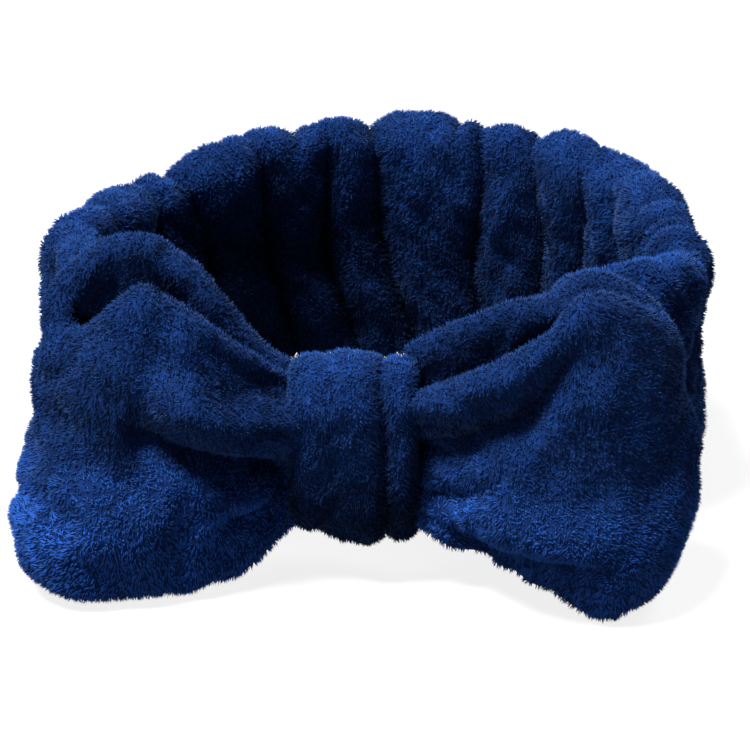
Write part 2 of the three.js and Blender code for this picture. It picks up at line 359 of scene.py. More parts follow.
def plush_material(name, along, shade):
    """Plush from the shared group: along and shade come from the tufts, or from noise on a cover."""
    material, tree, shader, position = new_material(name, 0.85)
    shader.inputs["Specular IOR Level"].default_value = 0.04
    shader.inputs["Sheen Weight"].default_value = 0.12
    shader.inputs["Sheen Roughness"].default_value = 0.45
    shader.inputs["Sheen Tint"].default_value = NAVY_SHEEN
    group = add(tree.nodes, "ShaderNodeGroup", node_tree=plush_colour)
    group.inputs["Root"].default_value = NAVY_ROOT
    group.inputs["Tip"].default_value = NAVY_TIP
    tree.links.new(position, group.inputs["Position"])
    tree.links.new(along(tree, position), group.inputs["Along"])
    tree.links.new(shade(tree, position), group.inputs["Shade"])
    tree.links.new(read("fold")(tree, position), group.inputs["Fold"])
    tree.links.new(group.outputs["Color"], shader.inputs["Base Color"])
    return material, tree, shader, position


def raise_bump(tree, shader, height, strength, distance):
    """A Bump node that feeds the shader's normal."""
    bump = add(tree.nodes, "ShaderNodeBump")
    bump.inputs["Strength"].default_value = strength
    bump.inputs["Distance"].default_value = distance
    tree.links.new(height, bump.inputs["Height"])
    tree.links.new(bump.outputs[0], shader.inputs["Normal"])


def stripes(tree, position, axis, scale, distortion):
    """Bands across one axis of the Object coordinates, for braid, twist and ribs."""
    wave = add(tree.nodes, "ShaderNodeTexWave", bands_direction=axis)
    wave.inputs["Scale"].default_value = scale
    wave.inputs["Distortion"].default_value = distortion
    tree.links.new(position, wave.inputs["Vector"])
    return wave.outputs["Fac"]


def two_tone(tree, shader, factor, first, second):
    """Base colour mixed between two colours by a pattern."""
    mix = add(tree.nodes, "ShaderNodeMix", data_type="RGBA")
    mix.inputs["A"].default_value = first
    mix.inputs["B"].default_value = second
    tree.links.new(factor, mix.inputs["Factor"])
    tree.links.new(mix.outputs["Result"], shader.inputs["Base Color"])


pile_material = plush_material("navy_plush_pile", read("along"), read("shade"))[0]
cover_material, cover_tree, cover_shader, cover_position = plush_material(
    "navy_plush_backing",
    lambda tree, position: math_node(tree, "MULTIPLY", noise_node(tree, position, 420.0), 0.45),
    lambda tree, position: noise_node(tree, position, 900.0),
)
raise_bump(cover_tree, cover_shader, noise_node(cover_tree, cover_position, 700.0), 0.8, 0.0012)



def patterned(name, roughness, pattern, colours, bump):
    """A material whose colour and bump follow one pattern. Bump is its strength and its height in m."""
    material, tree, shader, position = new_material(name, roughness)
    factor = pattern(tree, position)
    two_tone(tree, shader, factor, *colours)
    raise_bump(tree, shader, factor, *bump)
    return material


elastic_material = patterned(
    "white_braided_elastic", 0.75, lambda tree, position: stripes(tree, position, "Z", 150.0, 0.6),
    [(0.52, 0.52, 0.50, 1), (0.74, 0.74, 0.71, 1)], (0.5, 0.0003),
)
wadding_material = patterned(
    "white_bonded_wadding", 0.95, lambda tree, position: noise_node(tree, position, 260.0, 5.0),
    [(0.66, 0.66, 0.65, 1), (0.88, 0.88, 0.87, 1)], (0.7, 0.001),
)
thread_material = patterned(
    "navy_spun_thread", 0.6, lambda tree, position: stripes(tree, position, "DIAGONAL", 900.0, 1.5),
    [(0.003, 0.008, 0.03, 1), (0.012, 0.03, 0.10, 1)], (0.6, 0.0002),
)
print("materials:", pile_material.name, cover_material.name, elastic_material.name, thread_material.name)

# %% [markdown]
# ## Letting the cloth settle
# The shapes that follow are drawn as surfaces. Real fleece is cut larger than the room it is given,
# and between two creases it is pushed out by its own thickness and its filling. A short cloth
# simulation gives it that uneven fullness. Every third point of a cover becomes a cloth that wants to
# be a few hundredths larger and is blown up gently, without gravity. It is held in its creases and at
# its ends. Each point's move is capped and spread back over the fine surface.

# %% Settle
SETTLE_FRAMES = 10
HOLD_LEVELS = 8
COARSE = 3
LOWEST_COVER = 0.8


def points_of(piece):
    """A piece's points in mm, as they are after its modifiers."""
    mesh = piece.evaluated_get(bpy.context.evaluated_depsgraph_get()).data
    points = np.empty(len(mesh.vertices) * 3, np.float32)
    mesh.vertices.foreach_get("co", points)
    return points.reshape(-1, 3) / MM


def hold_points(piece, held):
    """A vertex group whose weights are the held values, given in a few even steps."""
    group = piece.vertex_groups.new(name="held")
    levels = np.rint(np.clip(held, 0, 1) * HOLD_LEVELS).astype(int)
    for level in range(HOLD_LEVELS + 1):
        group.add(np.flatnonzero(levels == level).tolist(), level / HOLD_LEVELS, "REPLACE")


def blow_up(piece, pressure, growth):
    """Runs the cloth from the first frame to the last, and returns how far each point moved, in mm."""
    before = points_of(piece)
    modifier = piece.modifiers.new("settle", "CLOTH")
    cloth = modifier.settings
    cloth.quality = 5
    cloth.mass = 0.01
    cloth.tension_stiffness = 12
    cloth.compression_stiffness = 6
    cloth.shear_stiffness = 3
    cloth.bending_stiffness = 0.8
    cloth.use_pressure = True
    cloth.uniform_pressure_force = pressure
    cloth.vertex_group_mass = "held"
    cloth.pin_stiffness = 0.4
    cloth.shrink_min = -growth
    cloth.effector_weights.gravity = 0
    modifier.collision_settings.use_collision = False
    modifier.point_cache.frame_end = SETTLE_FRAMES
    for number in range(1, SETTLE_FRAMES + 1):
        bpy.context.scene.frame_set(number)
    move = points_of(piece) - before
    bpy.context.scene.frame_set(1)
    return move


def refine(moves, ring):
    """Straight-line values between coarse rows and columns, then a blur over three neighbours, twice."""
    rows = np.concatenate([moves, moves[:1] if ring else moves[-1:]])
    share = (np.arange(COARSE) / COARSE)[None, :, None, None]
    fine = (rows[:-1, None] * (1 - share) + rows[1:, None] * share).reshape(-1, *rows.shape[1:])
    if not ring:
        fine = fine[:1 - COARSE]
    columns = np.concatenate([fine, fine[:, :1]], axis=1)
    share = (np.arange(COARSE) / COARSE)[None, None, :, None]
    fine = (columns[:, :-1, None] * (1 - share) + columns[:, 1:, None] * share).reshape(len(fine), -1, 3)
    for axis in (0, 0, 1, 1):
        fine = (np.roll(fine, 1, axis) + fine + np.roll(fine, -1, axis)) / 3
    return fine


def settled(sections, held, pressure, growth, cap, ring=False):
    """A cover's sections after the cloth has settled. No point moves further than the cap, in mm."""
    held = np.broadcast_to(held, sections.shape[:2]).copy()
    if not ring:
        held[[0, 1, 2, 3, -4, -3, -2, -1]] = 1
    piece = tube("settling", sections[::COARSE, ::COARSE], cover_material, "navy_plush", ring=ring)
    hold_points(piece, held[::COARSE, ::COARSE].ravel())
    move = blow_up(piece, pressure, growth)
    bpy.data.objects.remove(piece)
    far = np.linalg.norm(move, axis=1, keepdims=True)
    kept = move * cap * np.tanh(far / cap) / np.maximum(far, 1e-9)
    print("settled: mean move", round(float(far.mean()), 2), "mm, most", round(float(far.max()), 2), "mm")
    coarse_shape = sections[::COARSE, ::COARSE].shape
    after = sections + refine(kept.reshape(coarse_shape), ring)
    after[..., 2] = np.maximum(after[..., 2], LOWEST_COVER)
    return after


print("settling uses every", COARSE, "points, over", SETTLE_FRAMES, "frames")

# %% [markdown]
# ## The ring's middle line
# The relaxed band is D-shaped: a long half ellipse behind and a flat one in front, where the bow's
# weight pulls it straight. The solids' own sizes fix it, and the row frame moves it along Y.

# %% Ring line
RING_HALF_WIDTH = 85.0
RING_BACK = 87.0
RING_FRONT = 48.0
SLEEVE_THICKNESS = 14.0
SEAM_DEPTH = 10.0
WAIST_LOW = 18.4
WAIST_HIGH = 61.6
MIDDLE_HEIGHT = (WAIST_LOW + WAIST_HIGH) / 2
FLARE_START = 18.5
FLARE_END = 58.0
ROW_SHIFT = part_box("back_sleeve")[1].y / MM - (RING_BACK + SLEEVE_THICKNESS / 2)


def bell(value, middle, width):
    """1 at the middle, falling off on both sides as a bell curve."""
    return np.exp(-(((value - middle) / width) ** 2))


def slouch(turn):
    """Where the soft ring sinks inwards: most at its left behind, and a little at its right."""
    turned = (turn + np.pi) % (2 * np.pi) - np.pi
    return 6.5 * bell(turned, -0.95, 0.5) + 3.0 * bell(turned, 1.35, 0.4)


def ring_line(turn):
    """Points x = a sin t, y = b cos t, b longer behind, less the slouch, and their outward normals."""
    depth = np.where(np.cos(turn) > 0, RING_BACK, RING_FRONT)
    point = np.stack([RING_HALF_WIDTH * np.sin(turn), depth * np.cos(turn) + ROW_SHIFT, 0 * turn], -1)
    out = unit(np.stack([depth * np.sin(turn), RING_HALF_WIDTH * np.cos(turn), 0 * turn], -1))
    return point - out * slouch(turn)[..., None], out


turn_table = np.linspace(-np.pi, 2 * np.pi, 3001)
steps = np.linalg.norm(np.diff(ring_line(turn_table)[0], axis=0), axis=1)
length_table = np.concatenate([[0], np.cumsum(steps)])
length_table -= np.interp(0.0, turn_table, length_table)
RING_LENGTH = np.interp(2 * np.pi, turn_table, length_table)
SEAM_LENGTH = np.interp(math.acos(-SEAM_DEPTH / RING_FRONT), turn_table, length_table)
print("ring's middle line:", round(RING_LENGTH), "mm; side seams", round(SEAM_LENGTH), "mm from the back")

# %% [markdown]
# ## Gathers
# A sleeve is cut half as long again as the elastic, and the elastic draws it in. The extra length
# stands up as puffs, about 22 mm apart, with a crease between each two. Creases lean and wander, some
# stop halfway, and the outer and inner sides fold in different places. Near the knot, where the
# sleeve is drawn in, they crowd together. All of them are listed once, and the ring's whole skin is
# one function of the length along it and the way round its section, so both sleeves meet at the seams.

# %% Gathers
FULL_HALF = 8.0
PINCHED_HALF = 5.0
PINCHED_HIGH = 50.0
CLEAR_OF_ELASTIC = 1.9
RIM_LOW = 1.4
RIM_HIGH = 76.6


def list_creases():
    """Rows of place, side of the section, reach round it, width, depth, lean, wander and its phase."""
    rng = np.random.default_rng(11)
    rows = []
    for side, count in ((0.0, 22), (0.5, 21)):
        place = (np.arange(count) + rng.uniform(-0.27, 0.27, count)) / count * RING_LENGTH
        rows += [
            np.stack([
                place, side + rng.uniform(-0.08, 0.08, count), rng.uniform(0.27, 0.42, count),
                rng.uniform(9.5, 12.5, count), rng.uniform(5.2, 6.8, count), rng.uniform(-0.22, 0.22, count),
                rng.uniform(1.0, 3.0, count), rng.uniform(0, 2 * np.pi, count),
            ], -1)
        ]
        near_knot = np.array([-44, -35, -27, -20, 20, 27, 35, 44.0])
        count = len(near_knot)
        rows += [
            np.stack([
                RING_LENGTH / 2 + near_knot, np.full(count, side), rng.uniform(0.2, 0.35, count),
                rng.uniform(5.0, 7.0, count), rng.uniform(2.5, 4.0, count), rng.uniform(-0.1, 0.1, count),
                rng.uniform(0.5, 1.5, count), rng.uniform(0, 2 * np.pi, count),
            ], -1)
        ]
    return np.concatenate(rows)


CREASES = list_creases()


def crease_depth(length, share, z):
    """How far the creases press in, in mm: each is a valley along its leaning, wandering line, cut off
    by a window round the section, and they are joined by a soft maximum (the fourth root of the
    sum of their fourth powers).
    """
    total = np.zeros(np.broadcast(length, share, z).shape)
    for place, side, reach, width, depth, lean, wander, phase in CREASES:
        line = place + lean * (z - MIDDLE_HEIGHT) + wander * np.sin(z / 11 + phase)
        gap = (length - line + RING_LENGTH / 2) % RING_LENGTH - RING_LENGTH / 2
        off = np.abs((share - side + 0.5) % 1 - 0.5)
        window = 1 - smoothstep(off, 0.6 * reach, reach)
        total += (depth * window * valley(gap, width)) ** 4
    return total**0.25


def openness(line):
    """0 where the band is drawn in at the knot, 1 where it is fully open, from its line's X."""
    at_front = line[:, 1] - ROW_SHIFT < 0
    return np.where(at_front, smoothstep(np.abs(line[:, 0]), FLARE_START, FLARE_END), 1)[:, None]


def sleeve_sections(lengths, around):
    """The band's skin: a flat section with round edges, carried round the ring, drawn in at the knot,
    pulled in a little at mid height where the elastic lies, and pressed in along the creases.

    The fold also darkens the inner side's lower pile. That is a chosen shade, not a crease or
    wear: it stands in for the light that the ring keeps out of its own inside.
    """
    turn = np.interp(lengths, length_table, turn_table)
    line, out = ring_line(turn)
    share, lift, angle = flat_section(around, 0.37)
    opened = openness(line)
    half = blend_between(PINCHED_HALF, FULL_HALF, opened)
    way_round = lengths / RING_LENGTH * 2 * np.pi
    along = np.stack([np.cos(way_round), np.sin(way_round)], -1)
    sway = drift(along, 0.75, 3)[:, None]
    low = blend_between(WAIST_LOW, RIM_LOW + 0.8 * (1 + drift(along, 0.5, 4))[:, None], opened)
    turned = (turn + np.pi) % (2 * np.pi) - np.pi
    rim = RIM_HIGH + 1.4 * drift(along, 0.6, 5) - 5.0 * bell(turned, -1.05, 0.5)
    high = blend_between(PINCHED_HIGH, rim[:, None], opened)
    z = (low + high) / 2 + lift * ((high - low) / 2 - half) + half * np.sin(angle)
    pressed = crease_depth(lengths[:, None], share, z) * (1 - 0.6 * np.clip(-np.sin(angle), 0, 1))
    waist = 1.6 * np.exp(-(((z - MIDDLE_HEIGHT) / 14) ** 2)) * np.abs(np.cos(angle))
    spot = line[:, None] + out[:, None] * (half * np.cos(angle))[..., None] + [0, 0, 1] * z[..., None]
    lumps = 0.9 * drift(spot, 26, 6) + 0.35 * drift(spot, 9, 7)
    grown = np.maximum(half - pressed - waist + lumps * opened, CLEAR_OF_ELASTIC)
    lean_out = 1.8 * sway * opened * ((z - MIDDLE_HEIGHT) / 39)
    across = grown * np.cos(angle) + lean_out
    height = z + (grown - half) * np.sin(angle)
    skin = line[:, None] + out[:, None] * across[..., None] + [0, 0, 1] * height[..., None]
    # The fold is painted shade: darker in the creases, where the band is drawn in at the knot, and on the
    # inner side's lower pile.
    inside_shade = 0.55 * np.clip(-np.cos(angle), 0, 1) * (1 - smoothstep(z, 34, 72)) * opened
    return skin, (pressed / 6.0) ** 1.3 + 0.25 * (1 - opened) + inside_shade


def sleeve(name, start, end, stations, growth):
    """One length of sleeve, settled and made a piece."""
    skin, fold = sleeve_sections(np.linspace(start, end, stations), 108)
    skin = settled(skin, 0.06 + 1.2 * fold, 6.0, growth, 1.6)
    return tube(name, skin, cover_material, "navy_plush", fold=fold)


back_sleeve = sleeve("back_sleeve_cover", -SEAM_LENGTH, SEAM_LENGTH, 301, 0.06)
front_sleeve = sleeve("front_sleeve_cover", SEAM_LENGTH, RING_LENGTH - SEAM_LENGTH, 169, 0.04)
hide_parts("back_sleeve")
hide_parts("front_sleeve")
print(len(CREASES), "creases in", back_sleeve.name, "and", front_sleeve.name)

# %% [markdown]
# ## Bow loops
# Each loop is a flat padded tube that leaves the knot along the front, folds round at its outer end
# and comes home behind. Its plan is a curve, and its height opens from the pinched root to the full
# cut. The outer fold is a barrel, narrower at the top and bottom. What makes a bow look tied is the
# folds: deep creases that start at the knot, with a lip of cloth over them and a bulging pleat above.
# Each crease is a line in the loop's face. The cloth rises steeply above it and slowly below it.

# %% Loop profiles
PLAN = np.array([
    [13.5, -64.5], [18.6, -65.8], [30, -73], [44, -79], [60, -82], [74, -79.5], [82.5, -72],
    [84.5, -64], [80, -56], [69, -51.5], [56, -52], [42, -55.6], [30, -58], [18.6, -58.2], [13.5, -59.5],
])
LOOPS = {
    "left": {
        "side": -1,
        "front_low": [(13, 17), (17, 15.5), (25, 8.5), (33, 4), (41, 2.2), (90, 2.2)],
        "front_high": [(13, 56), (17, 57.5), (20, 59), (28, 67), (41, 77.5), (52, 83.5), (64, 84.5), (90, 84)],
        "back_low": [(13, 18), (17, 17), (30, 8), (45, 2.4), (90, 2.2)],
        "back_high": [(13, 57), (17, 58), (24, 62), (31, 69), (37, 77), (45, 84), (54, 89), (90, 90)],
        "front_barrel": [(0, 0.84), (11, 0.96), (32, 1.0), (49, 0.93), (71, 0.56), (86, 0.28), (92, 0.15)],
        "back_barrel": [(0, 0.8), (15, 0.93), (35, 1.0), (55, 0.96), (67, 0.9), (86, 0.7), (92, 0.45)],
        "creases": [
            {"line": [(13, 37), (18, 38), (30, 43), (41, 48), (51, 51), (62, 52)], "depth": 12.0, "from": 0,
             "fade": (40, 62), "above": 6, "below": 17, "bulge": 9.0, "lip": 5.0},
            {"line": [(13, 27), (18, 26), (28, 24), (40, 23)], "depth": 4.0, "from": 0,
             "fade": (28, 42), "above": 5, "below": 9, "bulge": 1.4, "lip": 1.2},
            {"line": [(13, 53), (20, 57), (32, 66), (45, 76)], "depth": 3.2, "from": 0,
             "fade": (26, 46), "above": 7, "below": 7, "bulge": 0.5, "lip": 0.0},
        ],
        "flare": 5.0,
        "hollow": 4.5,
        "dip": 17.0,
        "shelf": 20.0,
        "seed": 21,
    },
    "right": {
        "side": 1,
        "front_low": [(13, 17), (17, 16), (23, 15), (33, 10), (44, 6), (54, 3.5), (65, 2.2), (90, 2.2)],
        "front_high": [(13, 53), (17, 54.5), (26, 60), (36, 66), (46, 73.5), (58, 82), (66, 86), (90, 88)],
        "back_low": [(13, 18), (17, 17), (30, 9), (45, 3), (90, 2.2)],
        "back_high": [(13, 63), (17, 66), (22, 69), (28, 71), (40, 75), (50, 77), (62, 82), (90, 86)],
        "front_barrel": [(0, 0.7), (11, 0.78), (33, 0.89), (42, 0.9), (70, 0.81), (84, 0.66), (92, 0.42)],
        "back_barrel": [(0, 0.7), (11, 0.82), (33, 0.97), (42, 1.0), (70, 0.8), (84, 0.6), (92, 0.4)],
        "creases": [
            {"line": [(13, 42), (17.4, 44), (28, 49), (38, 55), (50, 62), (56, 70), (64, 80)], "depth": 7.5,
             "from": 0, "fade": (44, 62), "above": 7, "below": 16, "bulge": 6.0, "lip": 3.0},
            {"line": [(26, 22), (40, 21.5), (62, 21), (70, 20)], "depth": 8.0, "from": 28,
             "fade": (56, 68), "above": 5, "below": 60, "bulge": 1.5, "lip": 2.0},
            {"line": [(13, 29), (20, 29), (34, 33), (44, 38)], "depth": 3.6, "from": 0,
             "fade": (28, 44), "above": 6, "below": 7, "bulge": 1.0, "lip": 0.6},
        ],
        "flare": 6.5,
        "hollow": 1.0,
        "dip": 8.0,
        "shelf": 26.0,
        "seed": 34,
    },
}
LAYER_HALF = 4.6
ROOT_HALF = 3.4


def profile(stops, x):
    """Straight lines between (x, value) stops, rounded off by averaging five neighbouring readings."""
    table = np.array(stops, float)
    shifts = np.linspace(-3, 3, 5)
    return np.mean([np.interp(x + shift, table[:, 0], table[:, 1]) for shift in shifts], axis=0)


def press(crease, x, z):
    """Inward press and downward slip of the cloth near one crease, and how shut the crease is.

    Above the line the depth falls off as a valley, below it as a slow step. The bulge is a bell just
    above the lip, and the lip slips down over the crease.
    """
    above = z - profile(crease["line"], x)
    strength = 1 - smoothstep(x, *crease["fade"])
    if crease["from"]:
        strength = strength * smoothstep(x, crease["from"] - 3, crease["from"] + 6)
    upper = valley(above, crease["above"])
    lower = 1 - smoothstep(-above, 0.15 * crease["below"], crease["below"])
    inward = crease["depth"] * np.where(above > 0, upper, lower)
    inward -= crease["bulge"] * np.exp(-(((above - 1.3 * crease["above"]) / crease["above"]) ** 2))
    slip = crease["lip"] * np.exp(-((above / 4.5) ** 2)) * (above > -1)
    shut = np.where(above > 0, valley(above, crease["above"]), valley(above, 0.5 * crease["below"] + 3))
    return strength * inward, strength * slip, strength * shut * crease["depth"] / 9


def loop_sections(shape, stations, around):
    """A loop's skin: plan curve, height profiles, barrel end, then creases, gathers and lumps.

    A point is the plan's point, plus the layer's half thickness along the plan's normal, plus its
    height. The outer face takes the whole press of a crease and the inner face a third of it.
    """
    side = shape["side"]
    plan = through(PLAN + [0, ROW_SHIFT], stations)
    heading = unit(np.gradient(plan, axis=0))
    out = np.stack([heading[:, 1], -heading[:, 0]], -1)
    x = plan[:, 0]
    dip = shape["dip"] * bell(np.linspace(0, 1, stations), 0.5, 0.085)
    turned = smoothstep(np.linspace(0, 1, stations), 0.42, 0.58)
    low = blend_between(profile(shape["front_low"], x), profile(shape["back_low"], x), turned)[:, None]
    high = blend_between(profile(shape["front_high"], x), profile(shape["back_high"], x), turned) - dip
    high = high[:, None]
    opened = smoothstep(x, 16, 46)[:, None]
    half = blend_between(ROOT_HALF, LAYER_HALF, opened)
    lift, angle = flat_section(around, 0.44)[1:]
    z = (low + high) / 2 + lift * ((high - low) / 2 - half) + half * np.sin(angle)
    outer = 0.5 + 0.5 * np.cos(angle)
    barrels = [np.interp(z, *np.array(shape[key]).T) for key in ("front_barrel", "back_barrel")]
    barrel = blend_between(*barrels, turned[:, None])
    narrow = np.where(x[:, None] > 50, 50 + (x[:, None] - 50) * barrel, x[:, None])
    front = (1 - turned)[:, None]
    inward, slip, fold = np.zeros_like(z), np.zeros_like(z), np.zeros_like(z)
    for crease in shape["creases"]:
        pressed, slipped, shut = press(crease, narrow, z)
        inward += pressed * front * (0.3 + 0.7 * outer)
        slip += slipped * front * outer
        fold = np.maximum(fold, shut * front * outer)
    fan = (1 - smoothstep(x, 18, 46))[:, None]
    wave = lift * 3.1 + 0.5 * np.sin(x[:, None] / 9 + shape["seed"]) + 1.7 * turned[:, None]
    gathered = fan * (1 - np.abs(np.sin(np.pi * wave))) ** 2
    inward += 2.2 * gathered * (0.4 + 0.6 * outer)
    flare = shape["flare"] * smoothstep(x, 50, 76)[:, None] * (1 - smoothstep(z, 8, 42)) * front
    tip_back = 8.0 * smoothstep(z, 40, 96) * smoothstep(x, 25, 55)[:, None] * front
    spot = np.stack(np.broadcast_arrays(narrow * side, plan[:, 1:2], z), -1)
    lumps = 1.3 * drift(spot, 38, shape["seed"]) + 0.5 * drift(spot, 13, shape["seed"] + 1)
    belly = 2.0 * np.cos(np.pi * (z - (low + high) / 2) / (high - low + 1)) * opened
    belly = belly * (1 - smoothstep(x, 66, 80))[:, None]
    hollow = shape["hollow"] * bell(z, 47, 17) * smoothstep(x, 44, 58)[:, None] * front * outer
    shelf = 4.8 * bell(z, shape["shelf"], 15) * smoothstep(x, 34, 56)[:, None] * front * (0.4 + 0.6 * outer)
    offset = half * np.cos(angle) - inward - hollow + shelf + (lumps * (0.3 + 0.7 * opened) + belly)
    px = narrow + out[:, None, 0] * offset
    py = plan[:, None, 1] + out[:, None, 1] * offset - flare + tip_back
    # The fold is painted shade: darker in the creases and gathers, in the hollow, and on the inner faces
    # between the two layers.
    fold = fold + 0.45 * gathered + 0.05 * hollow + 0.35 * (1 - outer)
    return np.stack([side * px, py, z - slip], -1), fold


loop_covers = {}
loop_skins = {}
for name, shape in LOOPS.items():
    sections, fold = loop_sections(shape, 190, 120)
    near_knot = 1 - smoothstep(np.abs(sections[..., 0]), 18, 30)
    sections = settled(sections, 0.06 + 1.2 * np.clip(fold + near_knot, 0, 1), 8.0, 0.06, 2.6)
    loop_skins[name] = sections
    loop_covers[name] = tube(f"{name}_loop_padded_cover", sections, cover_material, "navy_plush", fold=fold)
    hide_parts(f"{name}_loop_cover")
    print(name, "loop from", sections.min(axis=(0, 1)).round(1), "to", sections.max(axis=(0, 1)).round(1))

# %% [markdown]
# ## Knot
# The wrap is a strip of folded fleece that goes right round the waist and the band. Its path is a
# rounded box in the Y-Z plane, and its section is a flat strip that bellies outwards. One crease
# divides the front into a broad roll and a narrow one.

# %% Knot
KNOT_HALF_WIDTH = 16.5
KNOT_HALF = 2.7
KNOT_DROOP = 16.0
KNOT_SINK = 5.0
knot_low, knot_high = (np.array(corner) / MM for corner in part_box("knot_wrap"))


def knot_path(angle):
    """A rounded box: y and z are powers below one of a cosine and a sine. Also its outward normals.

    Its top droops towards the back, where the band under it is drawn in more than the bow.
    """
    centre = (knot_low + knot_high) / 2
    reach = (knot_high - knot_low) / 2 - KNOT_HALF
    cosine, sine = np.cos(angle), np.sin(angle)
    y = centre[1] + reach[1] * np.sign(cosine) * np.abs(cosine) ** 0.72
    z = centre[2] + reach[2] * np.sign(sine) * np.abs(sine) ** 0.62 - KNOT_SINK * np.clip(sine, 0, 1)
    back_share = smoothstep(y, knot_low[1] + 7, knot_high[1] - 3)
    z = z - KNOT_DROOP * back_share * smoothstep(z, MIDDLE_HEIGHT, knot_high[2])
    path = np.stack([0 * y, y, z], -1)
    heading = unit(np.roll(path, -1, axis=0) - np.roll(path, 1, axis=0))
    return path, np.stack([0 * y, heading[:, 2], -heading[:, 1]], -1)


def knot_sections(stations, around):
    """The wrap's skin: the strip's section across X, with its belly, crease and folds."""
    angle_along = np.arange(stations) / stations * 2 * np.pi
    path, out = knot_path(angle_along)
    lift, angle = flat_section(around, 0.42)[1:]
    front = smoothstep(-np.cos(angle_along), -0.2, 0.5)[:, None]
    x = lift * (KNOT_HALF_WIDTH - KNOT_HALF) + KNOT_HALF * np.sin(angle) + 0 * front
    outer = np.clip(np.cos(angle), 0, 1)
    belly = 2.4 * (1 - (x / KNOT_HALF_WIDTH) ** 2) * (0.3 + 0.7 * front)
    middle = 8.0 + 1.2 * np.sin(angle_along * 2.0 + 0.6)[:, None]
    crease = 4.2 * valley(x - middle, 5.5) * front
    second = 1.8 * valley(x + 7 + 2 * np.cos(3 * angle_along)[:, None], 6) * (1 - 0.6 * front)
    spot = path[:, None] + [1, 0, 0] * x[..., None]
    lumps = 0.9 * drift(spot, 22, 8) + 0.4 * drift(spot, 8, 9)
    offset = KNOT_HALF * np.cos(angle) + (belly - crease - second + lumps) * outer
    under = 0.8 * smoothstep(-np.sin(angle_along), -0.45, 0.6)[:, None] * front
    edge = 0.5 * smoothstep(np.abs(x), 13, 17)
    # The second value is painted shade: darker in the two creases, low on the knot's front and along the
    # strip's edges.
    return spot + out[:, None] * offset[..., None], (crease / 4.2 + second / 4) * outer + under + edge


skin, fold = knot_sections(189, 84)
skin = settled(skin, 0.1 + fold, 4.0, 0.03, 1.0, ring=True)
knot = tube("knot_wrap_cover", skin, cover_material, "navy_plush", ring=True, fold=fold)
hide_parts("knot_wrap")
print("knot:", len(knot.data.vertices), "points")

# %% [markdown]
# ## Pile
# The pile is what the hand feels and the eye reads. It could be particle hair, but that doesn't
# leave the file with the object, so each tuft is a real spike with three corners at its root and one
# at its tip. Tufts are scattered evenly by area. They lean with the comb of the cloth, and a small
# swirl gathers neighbours into clumps. Each remembers where its tip is and how light it is.


# %% Pile
TUFT_ROOT = 0.28
TUFT_SINK = 0.4
TUFTS_PER_PIECE = 49000
FLOOR_CLEARANCE = 0.25


def surface_of(piece):
    """A piece's points in mm, their normals, its triangles, and how deep in a crease each point lies."""
    # The fold read here is painted shade: darker in creases and other shut places.
    mesh = piece.data
    mesh.calc_loop_triangles()
    points = np.empty(len(mesh.vertices) * 3, np.float32)
    normals = np.empty(len(mesh.vertices) * 3, np.float32)
    triangles = np.empty(len(mesh.loop_triangles) * 3, np.int32)
    mesh.vertices.foreach_get("co", points)
    mesh.vertices.foreach_get("normal", normals)
    mesh.loop_triangles.foreach_get("vertices", triangles)
    fold = np.empty(len(mesh.vertices), np.float32)
    mesh.attributes["fold"].data.foreach_get("value", fold)
    return points.reshape(-1, 3) / MM, normals.reshape(-1, 3), triangles.reshape(-1, 3), fold


def scatter(piece, density, rng):
    """Random places on a piece's triangles, as many on each as its area asks for, and their normals."""
    points, normals, triangles, fold = surface_of(piece)
    a, b, c = (points[triangles[:, corner]] for corner in range(3))
    area = np.linalg.norm(np.cross(b - a, c - a), axis=1) / 2
    count = int(area.sum() * density)
    chosen = triangles[rng.choice(len(triangles), count, p=area / area.sum())]
    root = np.sqrt(rng.random(count))
    second = rng.random(count)
    weights = np.stack([1 - root, root * (1 - second), root * second], -1)
    place = np.einsum("ij,ijk->ik", weights, points[chosen])
    normal = unit(np.einsum("ij,ijk->ik", weights, normals[chosen]))
    return place, normal, (weights * fold[chosen]).sum(axis=1)


def tuft_points(place, normal, comb, length, lean, rng):
    """Four corners of each tuft: three round its root, and a tip along the leaning direction."""
    count = len(place)
    swirl = np.stack([drift(place, 5.5, 40 + axis) for axis in range(3)], -1)
    broad = np.stack([drift(place, 30.0, 50 + axis) for axis in range(3)], -1)
    pull = comb + 0.75 * swirl + 0.6 * broad + rng.normal(0, 0.35, (count, 3))
    flat = unit(pull - normal * np.einsum("ij,ij->i", pull, normal)[:, None])
    tilt = np.radians(lean) * rng.uniform(0.55, 1.25, count)[:, None]
    reach = (length * rng.uniform(0.75, 1.2, count))[:, None]
    tip = place + reach * (normal * np.cos(tilt) + flat * np.sin(tilt))
    side = np.cross(normal, flat)
    spin = rng.uniform(0, 2 * np.pi, count)[:, None] + np.arange(3) * 2 * np.pi / 3
    radius = TUFT_ROOT * rng.uniform(0.8, 1.25, count)[:, None, None]
    circle = np.cos(spin)[..., None] * flat[:, None] + np.sin(spin)[..., None] * side[:, None]
    base = (place - TUFT_SINK * normal)[:, None] + radius * circle
    corners = np.concatenate([base, tip[:, None]], axis=1)
    corners[..., 2] = np.maximum(corners[..., 2], FLOOR_CLEARANCE)
    return corners


